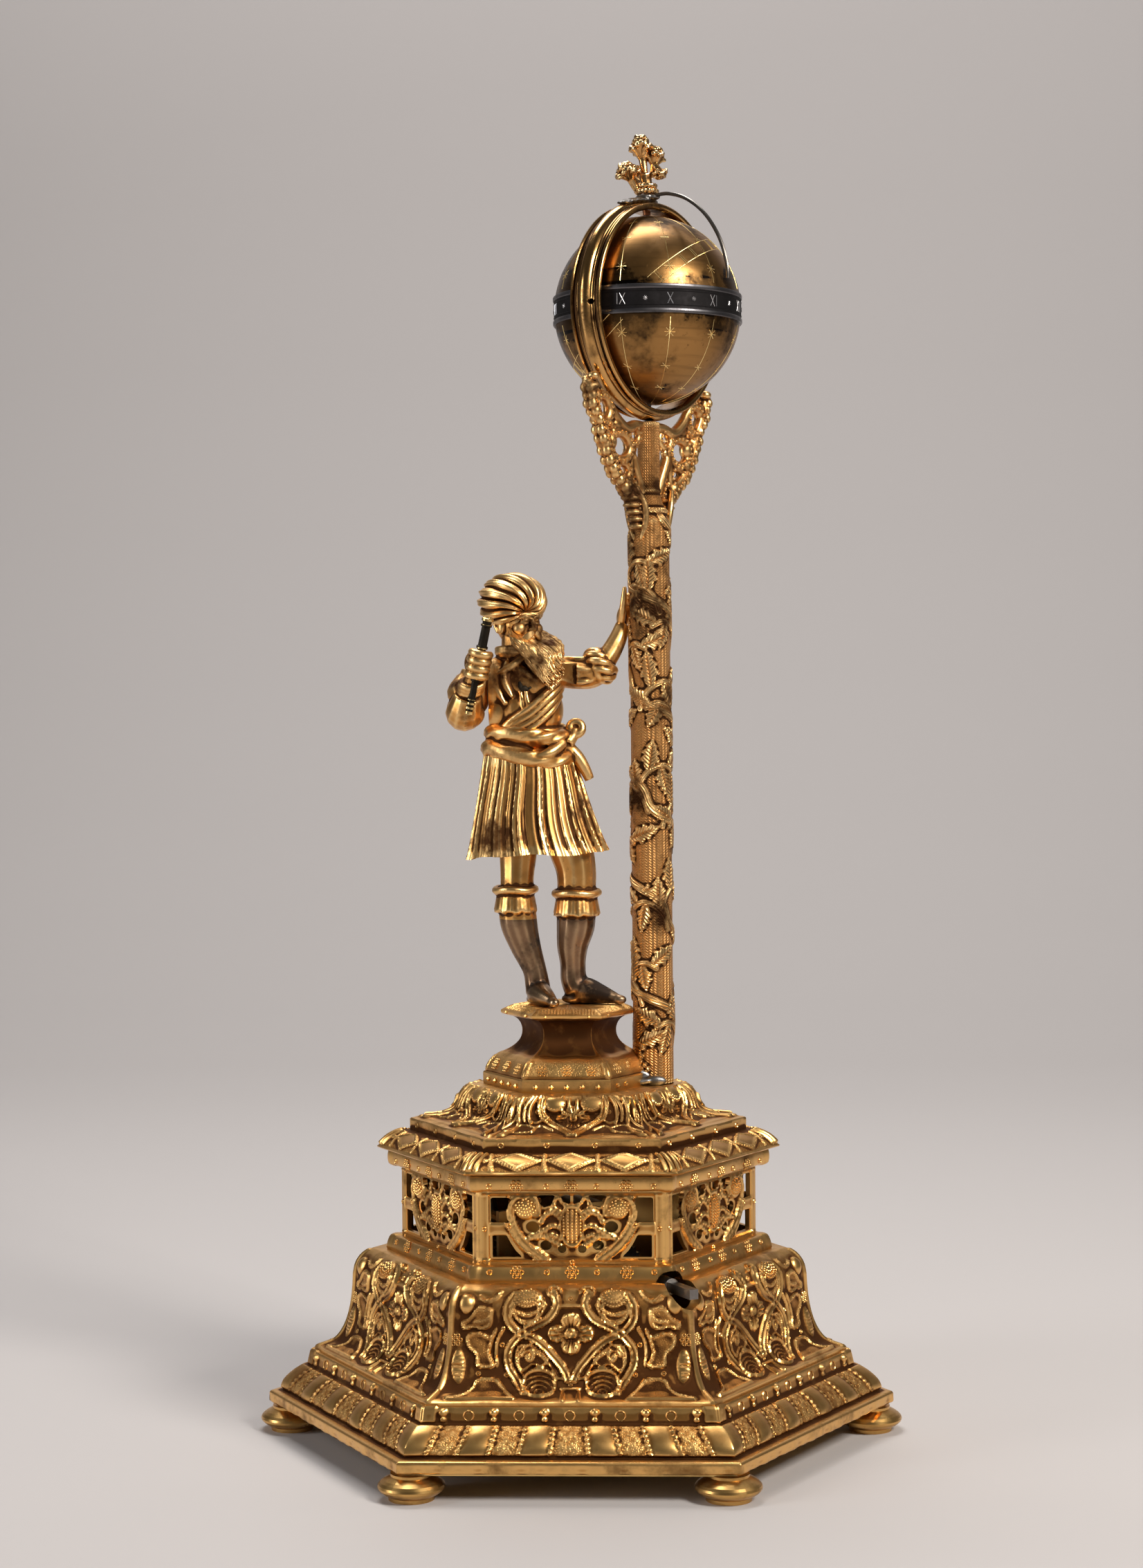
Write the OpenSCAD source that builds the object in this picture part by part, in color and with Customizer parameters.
/* [Case] */
// Corner radius of the base flange, half the distance across corners
flange_r = 82; // [78:1:90]
// Corner radius at the top of the gadroon band
gadroon_top_r = 72; // [70:0.5:74]
// Corner radius at the foot of the cove
cove_foot_r = 69.8; // [68:0.1:70]
// Corner radius of the cove at its shoulder
cove_top_r = 54.2; // [53:0.1:56]
// Corner radius of the plain bands above and below the frieze
fascia_r = 50.3; // [49.5:0.1:51]
// Corner radius of the pierced frieze
frieze_r = 46.4; // [45.5:0.1:47.5]
// Corner radius of the cornice edge
cornice_r = 52.9; // [52:0.1:56]
// Corner radius of the step under the lid dome
step_r = 44.1; // [43:0.1:45]
// Corner radius of the flat on top of the lid
lid_top_r = 28.2; // [27.5:0.1:29.5]
// Height of the flange edge
flange_h = 2.9; // [2:0.1:4]
// Height of the gadroon band
gadroon_h = 6.8; // [5.5:0.1:8]
// Height of the ringed band above the gadroons
ring_band_h = 4; // [3:0.1:5]
// Height of the cove from the ringed band to its shoulder
cove_h = 27; // [26:0.5:32]
// Height of each plain band at the frieze
fascia_h = 4.3; // [3.5:0.1:5]
// Height of the pierced frieze wall
frieze_h = 18.4; // [17:0.1:20]
// Height of the cornice
cornice_h = 4.9; // [4:0.1:6]
// Height of the step under the lid dome
step_h = 3; // [2:0.1:4]
// Height of the lid dome
dome_h = 9.2; // [8.5:0.1:11]
// Wall of the embossed sheet
shell_t = 1.2; // [1:0.1:1.5]
// Thickness of the pierced frieze sheet
frieze_t = 1; // [0.8:0.1:1.4]
// Thickness of the bottom plate
bottom_t = 0.8; // [0.6:0.1:1.2]

/* [Feet] */
// Height of a foot under the bottom plate
foot_h = 6.4; // [5:0.2:9]
// Largest radius of a foot
foot_r = 8.2; // [7:0.1:9]
// Distance of a foot's centre from the axis of the case
foot_circle_r = 76; // [72:0.5:78]

/* [Pedestal] */
// Sideways place of the pedestal
pedestal_x = -2; // [-4:0.5:0]
// Corner radius of the pedestal plinth
plinth_r = 22.7; // [21:0.1:24]
// Corner radius of the neck
neck_r = 12.3; // [10:0.1:14]
// Corner radius of the standing plate
stand_r = 17.9; // [16:0.1:20]
// Height of the pedestal
pedestal_h = 20.7; // [18:0.1:26]

/* [Column and globe] */
// Sideways place of the column and of the globe's axis
column_x = 20; // [19:0.5:21]
// Radius of the trunk
column_r = 5.2; // [4.6:0.1:5.6]
// Radius of the plain stub under the ring
stub_r = 3; // [2.4:0.1:3.4]
// Height at which the trunk narrows to the stub, above the lid
trunk_h = 151.5; // [140:0.5:160]
// Height from the lid to the bottom of the meridian ring
column_h = 172.6; // [165:0.2:190]
// Radius of the globe
globe_r = 24.25; // [22:0.05:25.5]
// Wall of the globe
globe_t = 0.8; // [0.6:0.1:1.2]
// Height of the hour band
band_h = 7.4; // [6:0.1:10]
// Inner radius of the meridian ring
ring_in_r = 25.6; // [25.2:0.1:28]
// Radial depth of the meridian ring
ring_depth = 2.9; // [2.2:0.1:4]
// Width of the meridian ring
ring_w = 9.4; // [6:0.1:12]
// Direction of the meridian ring's plane
ring_azimuth = 55; // [45:1:65]
// Direction of the hour pointer
pointer_azimuth = 319; // [300:1:340]
// Radius of the pointer wire
pointer_r = 0.55; // [0.4:0.05:0.7]
// Height of the leafy finial
finial_h = 15.5; // [12:0.5:18]

/* [Movement] */
// Thickness of a movement plate
frame_t = 1.5; // [1.2:0.1:2]
// Distance between the outer faces of the plates
frame_depth = 40; // [39:0.5:42]
// Radius of the spring barrel
barrel_r = 14.8; // [13:0.1:15]
// Length of the spring barrel
barrel_l = 17; // [14:0.5:18]
// Radius of the winding arbor
winding_r = 2; // [1.5:0.1:2.2]
// Side of the winding square
square_w = 2.4; // [2:0.1:2.6]
// Radius of the going arbors
arbor_r = 0.8; // [0.6:0.05:1]
// Radius of the bell's mouth
bell_r = 24; // [20:0.5:25]
// Radial clearance of an arbor in its hole
run_gap = 0.05; // [0.03:0.01:0.08]

/* [Figure] */
// Height of the skirt hem above the standing plate
hem_z = 39.5; // [38:0.5:41]
// Half width of the skirt hem
hem_rx = 18.6; // [17:0.2:20]
// Height of the waist above the standing plate
waist_z = 67; // [65:0.5:69]
// Height of the shoulders above the standing plate
shoulder_z = 91; // [89:0.5:93]
// Half width of the turban
turban_r = 8.8; // [8:0.1:9.6]
// Radius of the baton
baton_r = 1.25; // [0.9:0.05:1.4]

/* [Hidden] */

gilt = "goldenrod";
brass = "darkkhaki";
steel = "dimgray";
blued = "darkslategray";
$fn = 48;
hull_fn = 20;
hex = 6;
corner_share = cos(30);

// Levels of the case, from the floor up
z_bottom = foot_h;
z_flange = z_bottom + bottom_t;
z_gadroon = z_flange + flange_h;
z_ring_band = z_gadroon + gadroon_h;
z_cove = z_ring_band + ring_band_h;
z_shoulder = z_cove + cove_h;
z_fascia = z_shoulder - 0.8;
z_frieze = z_fascia + fascia_h;
z_top_fascia = z_frieze + frieze_h;
z_cornice = z_top_fascia + fascia_h;
z_step = z_cornice + cornice_h;
z_dome = z_step + step_h;
z_lid = z_dome + dome_h;
z_stand = z_lid + pedestal_h;
z_ring_low = z_lid + column_h;
ring_out_r = ring_in_r + ring_depth;
z_globe = z_ring_low + ring_out_r;
z_collar = z_globe + ring_out_r;
collar_h = 1.8;
fit_gap = 0.05;
deck_r = fascia_r - 6;

// A wall profile set inwards and down from the outer one
function inset(profile, floor_z) = [for (i = [len(profile) - 1:-1:0])
    [profile[i][0] - shell_t, max(profile[i][1] - shell_t / 2, floor_z)]];
// Points of a quarter-like curve bowed in or out between two points
function bowed(a, b, bow, steps) = [for (i = [0:steps])
    let (t = i / steps, mid = (a + b) / 2 + bow)
    a * (1 - t) * (1 - t) + mid * 2 * t * (1 - t) + b * t * t];

module hex_turned(profile) {
    rotate_extrude($fn = hex) polygon(profile);
}

foot_neck_r = foot_r * 0.62;
foot_base_r = foot_r * 0.68;
stud_r = 1.5;
foot_nut_r = 3;
foot_nut_h = 1.6;
module one_foot() {
    half = foot_h / 2;
    rotate_extrude() polygon(concat([[0, 0], [foot_base_r, 0], [foot_base_r, foot_h * 0.12]],
        [for (a = [-60:15:60]) [foot_base_r + (foot_r - foot_base_r) * (cos(a) - cos(60)) / (1 - cos(60)),
            half + half * 0.72 * a / 60]],
        [[foot_neck_r, foot_h * 0.9], [foot_neck_r, foot_h], [0, foot_h]]));
    cylinder(r = stud_r, h = foot_h + bottom_t + foot_nut_h + 0.6);
    translate([0, 0, z_flange]) difference() {
        cylinder(r = foot_nut_r, h = foot_nut_h, $fn = hex);
        cylinder(r = stud_r * 0.9, h = foot_nut_h * 0.5);
    }
}
module at_corners(radius, start = 0) {
    for (a = [start:60:start + 300]) rotate([0, 0, a]) translate([radius, 0, 0]) children();
}
module feet() {
    color("peru") at_corners(foot_circle_r) one_foot();
}

bottom_r = flange_r - 2;
screw_r = 1;
screw_circle_r = flange_r - 9;
module bottom_plate() {
    color(brass) difference() {
        translate([0, 0, z_bottom]) cylinder(r = bottom_r, h = bottom_t, $fn = hex);
        translate([0, 0, z_bottom - 1]) at_corners(foot_circle_r) cylinder(r = stud_r + fit_gap, h = bottom_t + 2);
        translate([0, 0, z_bottom - 1]) at_corners(screw_circle_r * corner_share, 30)
            cylinder(r = screw_r + fit_gap, h = bottom_t + 2);
    }
}

lug_r = 2.6;
lug_h = 4;
foot_nut_room = foot_nut_r + 0.6;
module base_moulding() {
    outer = concat([[flange_r, z_flange], [flange_r, z_gadroon]],
        bowed([flange_r - 3.8, z_gadroon + 0.3], [gadroon_top_r, z_ring_band], [1.6, 1.2], 5),
        [[gadroon_top_r, z_ring_band + 0.2], [gadroon_top_r - 1.1, z_cove]]);
    lug_l = (flange_r - shell_t - screw_circle_r) * corner_share + 0.4;
    color(gilt) difference() {
        union() {
            hex_turned(concat(outer, [[cove_foot_r - 4, z_cove], [cove_foot_r - 4, z_cove - shell_t],
                [gadroon_top_r - 1.1 - shell_t, z_cove - shell_t], [gadroon_top_r - shell_t, z_ring_band - 0.6],
                [flange_r - 5.4, z_gadroon - 0.4], [flange_r - shell_t, z_gadroon - shell_t],
                [flange_r - shell_t, z_flange]]));
            at_corners(screw_circle_r * corner_share, 30) translate([0, 0, z_flange]) {
                cylinder(r = lug_r, h = lug_h);
                translate([0, -lug_r, 0]) cube([lug_l, lug_r * 2, shell_t]);
            }
        }
        at_corners(screw_circle_r * corner_share, 30) translate([0, 0, z_flange - 1])
            cylinder(r = screw_r + fit_gap, h = lug_h + 2);
        at_corners(foot_circle_r) translate([0, 0, z_flange - 1]) rotate([0, 0, 100])
            cylinder(r = foot_nut_room, h = 1 + foot_nut_h + 0.8);
    }
}

screw_head_r = 2;
screw_head_h = 1;
module case_screws() {
    color(steel) at_corners(screw_circle_r * corner_share, 30) {
        translate([0, 0, z_bottom - screw_head_h]) difference() {
            cylinder(r = screw_head_r, h = screw_head_h);
            translate([-screw_head_r, -0.25, -1]) cube([screw_head_r * 2, 0.5, 1.4]);
        }
        translate([0, 0, z_bottom]) cylinder(r = screw_r, h = bottom_t + lug_h);
    }
}

// The winding axis leaves the cove at one corner
z_winding = z_fascia - 0.8;
winding_azimuth = -60;
winding_hole_r = 4;
// How far the raised ornament stands out of a wall, and how deep it is rooted in it
relief_t = 0.7;
relief_root = 0.4;
function raised_skin(line, way) = concat([for (p = line) p + way * relief_t],
    [for (i = [len(line) - 1:-1:0]) line[i] - way * relief_root]);
function oval(c, rx, ry) = [for (a = [0:36:324]) c + [rx * cos(a), ry * sin(a)]];
module on_both_sides() {
    children();
    mirror([1, 0, 0]) children();
}

function cove_line(steps) = concat(
    bowed([cove_foot_r - 5.1, z_cove + cove_h * 0.1], [cove_top_r + 5, z_shoulder - 6.7], [-2.4, -5], steps),
    bowed([cove_top_r + 4.6, z_shoulder - 4.6], [cove_top_r, z_shoulder], [1.2, 1], 3));
// The drawing on one face is made for these two sizes of the cove, and follows them when they change
drawing_h = 27;
drawing_r = 54.2;
function on_cove(points) = [for (p = points) [p[0] * cove_top_r / drawing_r, p[1] * cove_h / drawing_h]];
strap_w = 1.9;
rib_w = 0.9;
petal_r = 2.3;
module cove_drawing() {
    straps = [[[4.3, 25], [3.4, 22.6], [5.7, 19.2], [11.1, 16.3], [14.8, 12.6], [15.2, 8.4], [12.6, 4]],
        [[0.7, 4.9], [1.6, 6.9], [4.8, 10.9], [8.4, 14.2], [13, 16.3], [15.2, 19.2], [15.2, 22.6], [13.4, 24.8]]];
    ribs = [[[18.2, 16.6], [19.6, 14.8], [23.6, 15.9], [25.3, 14.9], [23, 10.6], [22.7, 8], [18.9, 8], [20, 11.2]],
        [[19.4, 21.3], [22.4, 21.9], [26.4, 18.3], [25.9, 16.9], [21.4, 16.9], [19.6, 18]]];
    on_both_sides() {
        for (line = straps) polygon(band_outline(on_cove(line), strap_w / 2));
        for (line = ribs) polygon(band_outline(on_cove(line), rib_w / 2));
        polygon(on_cove(oval([10.6, 23.6], 3.4, 2.4)));
        polygon(on_cove(oval([7.7, 5], 3.7, 3.2)));
        polygon(on_cove(oval([25.3, 22.2], 1.8, 2.2)));
        polygon(on_cove(oval([27.2, 8.2], 1.7, 3.9)));
        polygon(on_cove(oval([3.6, 15.7], petal_r, petal_r)));
    }
    for (c = [[0, 12.4], [0, 19], [0, 15.7]]) polygon(on_cove(oval(c, petal_r, petal_r)));
}
module cove_relief() {
    line = cove_line(4);
    intersection() {
        hex_turned(raised_skin([for (i = [0:len(line) - 2]) line[i]], [1, 0.35]));
        for (a = [30:60:330]) rotate([0, 0, a]) translate([deck_r * corner_share, 0, z_cove])
            rotate([90, 0, 90]) linear_extrude(cove_foot_r - deck_r) cove_drawing();
    }
}

module cove_shell() {
    outer = concat([[cove_foot_r, z_cove], [cove_foot_r, z_cove + 0.9]], cove_line(7));
    color(gilt) difference() {
        union() {
            hex_turned(concat(outer, [[fascia_r, z_fascia], [deck_r, z_fascia], [deck_r, z_fascia - shell_t],
                [fascia_r, z_fascia - shell_t]], inset([for (i = [0:len(outer) - 2]) outer[i]], z_cove)));
            cove_relief();
        }
        winding_hole();
    }
}
module winding_hole() {
    rotate([0, 0, winding_azimuth]) translate([deck_r - winding_hole_r, 0, z_winding]) rotate([0, 90, 0])
        rotate([0, 0, 50]) cylinder(r = winding_hole_r, h = flange_r - deck_r);
}

module frieze_base_band() {
    color(gilt) difference() {
        hex_turned([[fascia_r, z_fascia], [fascia_r - 1.1, z_frieze - 0.2], [frieze_r, z_frieze],
            [deck_r, z_frieze], [deck_r, z_frieze - shell_t], [fascia_r - 1.1 - shell_t, z_frieze - shell_t],
            [fascia_r - shell_t, z_fascia]]);
        winding_hole();
    }
}

window_w = 6.6;
window_h = frieze_h / 2 - 3;
frieze_frame = 2;
module frieze_openings() {
    half = frieze_r / 2;
    mid = frieze_h / 2;
    for (side = [-1, 1]) {
        for (level = [mid - window_h - 1, mid + 1])
            translate([side * (half - 4 - window_w / 2) - window_w / 2, level]) square([window_w, window_h]);
        translate([side * half * 0.36, mid - 4.2]) circle(r = 1.2);
        translate([side * half * 0.17, mid - 5.6]) circle(r = 0.9);
        polygon([[side * 3.2, frieze_h - frieze_frame], [side * 9.4, frieze_h - frieze_frame], [side * 7.4, mid + 2.6]]);
        translate([side * half * 0.42, mid - 0.4]) circle(r = 1.5);
    }
}
module pierced_frieze() {
    color(gilt) difference() {
        translate([0, 0, z_frieze]) cylinder(r = frieze_r, h = frieze_h, $fn = hex);
        translate([0, 0, z_frieze - 1]) cylinder(r = frieze_r - frieze_t / corner_share, h = frieze_h + 2, $fn = hex);
        for (a = [30:60:330]) rotate([0, 0, a]) translate([frieze_r * corner_share - frieze_t * 2, 0, z_frieze])
            rotate([90, 0, 90]) linear_extrude(frieze_t * 3) frieze_openings();
    }
}

module frieze_top_band() {
    color(gilt) hex_turned([[frieze_r, z_top_fascia], [fascia_r - 0.8, z_top_fascia + 0.3], [fascia_r - 0.6, z_cornice],
        [fascia_r - 0.6 - shell_t, z_cornice], [fascia_r - 0.8 - shell_t, z_top_fascia + shell_t],
        [deck_r, z_top_fascia + shell_t], [deck_r, z_top_fascia]]);
}

function dome_line(steps) = concat(
    bowed([step_r - 3, z_dome + 0.7], [lid_top_r + 4, z_dome + dome_h * 0.38], [-3.2, -1.4], steps),
    bowed([lid_top_r + 3.4, z_dome + dome_h * 0.52], [lid_top_r, z_lid], [0.6, 1], 3));
// The dome's drawing gives places across a face, and shares of the way from the dome's edge to its top
function on_dome(points) = let (line = dome_line(4), last = len(line) - 1)
    [for (p = points) let (i = min(floor(p[1] * last), last - 1), t = p[1] * last - i)
        [p[0] * lid_top_r / 28.2, (line[i][0] * (1 - t) + line[i + 1][0] * t) * corner_share]];
module dome_drawing() {
    ribs = [[[10, 0.96], [11.6, 0.74], [12.2, 0.56], [12.8, 0.36], [14.6, 0.16]],
        [[13.6, 0.62], [14.8, 0.4], [17, 0.22]]];
    on_both_sides() {
        polygon(band_outline(on_dome([[7.7, 0.92], [7.9, 0.7], [7, 0.5], [4.9, 0.34], [2.4, 0.22], [0.2, 0.12]]),
            strap_w / 2));
        for (line = ribs) polygon(band_outline(on_dome(line), rib_w / 2));
        polygon(on_dome(oval([4, 0.82], 2.2, 0.12)));
        polygon(on_dome(oval([2.4, 0.52], 1.9, 0.12)));
    }
    polygon(on_dome(oval([0, 0.56], 1.7, 0.16)));
}
module dome_relief() {
    line = dome_line(4);
    intersection() {
        hex_turned(raised_skin([for (i = [0:len(line) - 2]) line[i]], [0.5, 0.85]));
        for (a = [0:60:300]) rotate([0, 0, a]) translate([0, 0, z_dome]) linear_extrude(dome_h) dome_drawing();
    }
}

column_hole_r = column_r + fit_gap;
module lid() {
    outer = concat([[cornice_r - 1.8, z_cornice], [cornice_r, z_cornice + 0.6]],
        bowed([cornice_r - 0.5, z_cornice + 1], [step_r + 2, z_step - 0.2], [0.8, 1.1], 4),
        [[step_r, z_step], [step_r, z_dome], [step_r - 1.6, z_dome + 0.3]], dome_line(4));
    color(gilt) difference() {
        union() {
            hex_turned(concat(outer, [[0, z_lid], [0, z_lid - shell_t], [lid_top_r - shell_t, z_lid - shell_t]],
                inset([for (i = [2:len(outer) - 2]) outer[i]], z_cornice), [[cornice_r - 2.2, z_cornice]]));
            dome_relief();
        }
        translate([column_x, 0, z_dome]) cylinder(r = column_hole_r, h = dome_h + 1);
        translate([bell_x, 0, z_lid - shell_t - 1]) cylinder(r = bell_stud_r + fit_gap, h = shell_t + 2);
    }
}

module pedestal() {
    low = z_lid;
    mould = low + pedestal_h * 0.16;
    top = z_stand;
    color(gilt) difference() {
        translate([pedestal_x, 0, 0]) hex_turned(concat([[0, low], [plinth_r, low], [plinth_r, mould]],
            bowed([plinth_r - 0.5, mould + 0.5], [plinth_r - 3.7, low + pedestal_h * 0.38], [0.8, 0.6], 3),
            bowed([plinth_r - 6, low + pedestal_h * 0.42], [neck_r, low + pedestal_h * 0.67], [-2.4, -0.6], 4),
            bowed([neck_r, low + pedestal_h * 0.7], [stand_r - 2.8, low + pedestal_h * 0.86], [-1, 1], 3),
            [[stand_r, low + pedestal_h * 0.9], [stand_r, low + pedestal_h * 0.935], [stand_r - 2.9, top], [0, top]]));
        translate([column_x, 0, low - 1]) cylinder(r = column_r + 0.3, h = pedestal_h + 2);
        translate([bell_x, 0, low - 1]) cylinder(r = bell_stud_r + fit_gap, h = 9);
        for (spot = leg_pegs) translate([spot[0], spot[1], top - peg_depth]) cylinder(r = peg_r + fit_gap, h = peg_depth + 1);
    }
}

globe_hole_r = arbor_r + run_gap;
column_tail = 6.5;
nut_h = 2.6;
column_bore_r = arbor_r + 1.2;
module column_form() {
    rotate_extrude() polygon([[0, z_lid - column_tail], [column_r - 1.4, z_lid - column_tail],
        [column_r - 1.4, z_lid - shell_t - 0.2], [column_r, z_lid - shell_t - 0.2], [column_r, z_lid + trunk_h - 4],
        [stub_r + 0.6, z_lid + trunk_h], [stub_r, z_lid + trunk_h + 2], [stub_r, z_ring_low - 1.2],
        [stub_r + 0.5, z_ring_low - 1], [stub_r + 0.5, z_ring_low - 0.1], [0, z_ring_low - 0.1]]);
}
module column() {
    color(gilt) translate([column_x, 0, 0]) difference() {
        column_form();
        translate([0, 0, z_lid - column_tail + 2]) cylinder(r = column_bore_r, h = column_tail + column_h - 8);
        translate([0, 0, z_lid - column_tail - 1]) cylinder(r = globe_hole_r, h = column_h + column_tail + 2);
    }
}
module column_nut() {
    color(brass) translate([column_x, 0, z_lid - shell_t - nut_h - 0.2]) difference() {
        cylinder(r = column_r + 1, h = nut_h, $fn = hex);
        translate([0, 0, -1]) cylinder(r = column_r - 1.4 + fit_gap, h = nut_h + 2);
    }
}

// Centre line of one scroll bracket, as distance from the axis and height below the ring
bracket_t = 3;
bracket_root_z = -27;
bracket_head = [ring_out_r * 0.98, 11];
function bracket_line(steps) = concat(
    bowed([stub_r + 1.2, bracket_root_z], [stub_r + 9.5, bracket_root_z + 13], [5.5, -3], steps),
    bowed([stub_r + 10.5, bracket_root_z + 16], [stub_r + 20, bracket_root_z + 30], [2.2, -3], steps));
function band_outline(line, w) = concat(
    [for (i = [0:len(line) - 1]) line[i] + side_step(line, i, w)],
    [for (i = [len(line) - 1:-1:0]) line[i] - side_step(line, i, w)]);
function side_step(line, i, w) =
    let (a = line[max(i - 1, 0)], b = line[min(i + 1, len(line) - 1)], d = b - a, l = norm(d))
    [-d[1], d[0]] / l * w;
module one_bracket() {
    rotate([90, 0, 0]) translate([0, z_ring_low, -bracket_t / 2]) linear_extrude(bracket_t) difference() {
        union() {
            polygon(band_outline(bracket_line(5), 2));
            translate([stub_r + 11, bracket_root_z + 20]) circle(r = 4.6);
            translate([stub_r + 5.5, bracket_root_z + 15]) circle(r = 4.2);
            translate([stub_r + 5.6, bracket_root_z + 21]) circle(r = 3.4);
            translate([stub_r + 20.5, bracket_root_z + 31.5]) circle(r = 3.4);
        }
        translate([stub_r + 11, bracket_root_z + 20]) circle(r = 2.4);
        translate([stub_r + 5.2, bracket_root_z + 15]) circle(r = 2);
        translate([0, ring_out_r]) circle(r = ring_out_r + 0.05, $fn = 96);
    }
}
module ring_brackets() {
    color(gilt) translate([column_x, 0, 0]) for (side = [0, 180]) rotate([0, 0, ring_azimuth + side]) difference() {
        one_bracket();
        column_form();
    }
}

module meridian_ring() {
    half = ring_w / 2;
    color(gilt) translate([column_x, 0, z_globe]) rotate([0, 0, ring_azimuth]) difference() {
        rotate([90, 0, 0]) rotate_extrude($fn = 96) polygon([[ring_in_r, -half * 0.62], [ring_in_r + 0.5, -half],
            [ring_in_r + 1.6, -half], [ring_in_r + 1.8, -half * 0.78], [ring_out_r - 1.0, -half * 0.5],
            [ring_out_r - 0.3, -half * 0.28], [ring_out_r, 0], [ring_out_r - 0.3, half * 0.28],
            [ring_out_r - 1.0, half * 0.5], [ring_in_r + 1.8, half * 0.78], [ring_in_r + 1.6, half],
            [ring_in_r + 0.5, half], [ring_in_r, half * 0.62]]);
        translate([0, 0, -ring_out_r - 1]) rotate([0, 0, 40]) cylinder(r = globe_hole_r, h = ring_depth + 2);
        translate([0, 0, ring_in_r - 1]) rotate([0, 0, 40]) cylinder(r = pivot_r + fit_gap, h = ring_depth + 2);
    }
}

pivot_r = 1;
pivot_room = 0.5;
module pivot_screw() {
    color("sienna") translate([column_x, 0, z_globe + globe_r + pivot_room])
        cylinder(r = pivot_r, h = z_collar - z_globe - globe_r - pivot_room + collar_h);
}
collar_r = 2.9;
module top_collar() {
    color("gray") translate([column_x, 0, z_collar - 0.04]) difference() {
        rotate_extrude() polygon([[0, 0], [collar_r - 0.6, 0], [collar_r, collar_h * 0.35], [collar_r - 0.4, collar_h],
            [0, collar_h]]);
        translate([0, 0, -1]) cylinder(r = pivot_r + fit_gap, h = collar_h + 2);
    }
}

// The wire runs on an arc from the collar down to the hour band
pointer_drop = z_collar + 1.1;
pointer_reach = ring_out_r - 1.2;
pointer_end_z = z_globe + band_h / 2 + 1.4;
pointer_start = collar_r - 0.3;
pointer_centre_z = (pointer_drop + pointer_end_z - (pow(pointer_reach, 2) - pow(pointer_start, 2))
    / (pointer_drop - pointer_end_z)) / 2;
pointer_arc_r = norm([pointer_start, pointer_drop - pointer_centre_z]);
pointer_from = atan2(pointer_start, pointer_drop - pointer_centre_z);
pointer_to = atan2(pointer_reach, pointer_end_z - pointer_centre_z);
module hour_pointer() {
    color(steel) translate([column_x, 0, pointer_centre_z]) rotate([0, 0, pointer_azimuth]) difference() {
        rotate([90, 0, 0]) rotate([0, 0, 90 - pointer_to]) rotate_extrude(angle = pointer_to - pointer_from)
            translate([pointer_arc_r, 0]) circle(r = pointer_r, $fn = 24);
        translate([0, 0, z_collar - pointer_centre_z - 2]) cylinder(r = collar_r + 0.02, h = collar_h + 4);
    }
}

leaf_fn = 12;
z_finial = z_collar + collar_h;
module bud(lean, azimuth, reach, fat) {
    rotate([0, 0, azimuth]) {
        hull() {
            translate([0.6, 0, 2.6]) sphere(r = 1.1, $fn = leaf_fn);
            translate([reach * sin(lean) * 0.55, 0, reach * cos(lean) * 0.55]) sphere(r = fat * 0.7, $fn = leaf_fn);
        }
        hull() {
            translate([reach * sin(lean) * 0.55, 0, reach * cos(lean) * 0.55]) sphere(r = fat * 0.7, $fn = leaf_fn);
            translate([reach * sin(lean), 0, reach * cos(lean)]) sphere(r = fat, $fn = leaf_fn);
        }
    }
}
module finial() {
    color(gilt) translate([column_x, 0, z_finial]) {
        rotate_extrude() polygon([[0, 0], [3, 0], [3.2, 0.5], [3, 1], [2.3, 1.2], [2.7, 1.6], [2.7, 2.1], [1.6, 2.6],
            [1.3, 4.4], [0, 4.4]]);
        bud(6, 180, finial_h - 2.2, 2.1);
        bud(30, 0, finial_h - 3.4, 1.9);
        bud(62, 205, 8.6, 2.2);
        bud(58, 80, 8, 1.9);
        bud(66, 320, 7.4, 1.8);
    }
}

seam_gap = 0.02;
module half_globe() {
    inner_r = globe_r - globe_t;
    difference() {
        rotate_extrude($fn = 96) difference() {
            intersection() {
                circle(r = globe_r, $fn = 96);
                translate([0, seam_gap]) square([globe_r + 1, globe_r + 1]);
            }
            circle(r = inner_r, $fn = 96);
        }
        cylinder(r = arbor_r, h = globe_r + 2);
    }
}
module globe_upper_half() {
    color(gilt) translate([column_x, 0, z_globe]) half_globe();
}
module globe_lower_half() {
    color(gilt) translate([column_x, 0, z_globe]) rotate([180, 0, 0]) half_globe();
}
band_rim = 1.2;
band_out_r = globe_r + 0.32;
module hour_band() {
    half = band_h / 2;
    color(blued) translate([column_x, 0, z_globe]) rotate_extrude($fn = 96) polygon([[globe_r + 0.01, -half],
        [band_out_r, -half], [band_out_r, band_rim - half], [band_out_r - 0.15, band_rim - half + 0.1],
        [band_out_r - 0.15, half - band_rim - 0.1], [band_out_r, half - band_rim], [band_out_r, half],
        [globe_r + 0.01, half]]);
}
z_step_foot = z_flange + 5;
module globe_arbor() {
    color(steel) translate([column_x, 0, z_step_foot + 0.1])
        cylinder(r = arbor_r, h = z_globe + globe_r + 0.4 - z_step_foot - 0.1);
}

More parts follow.
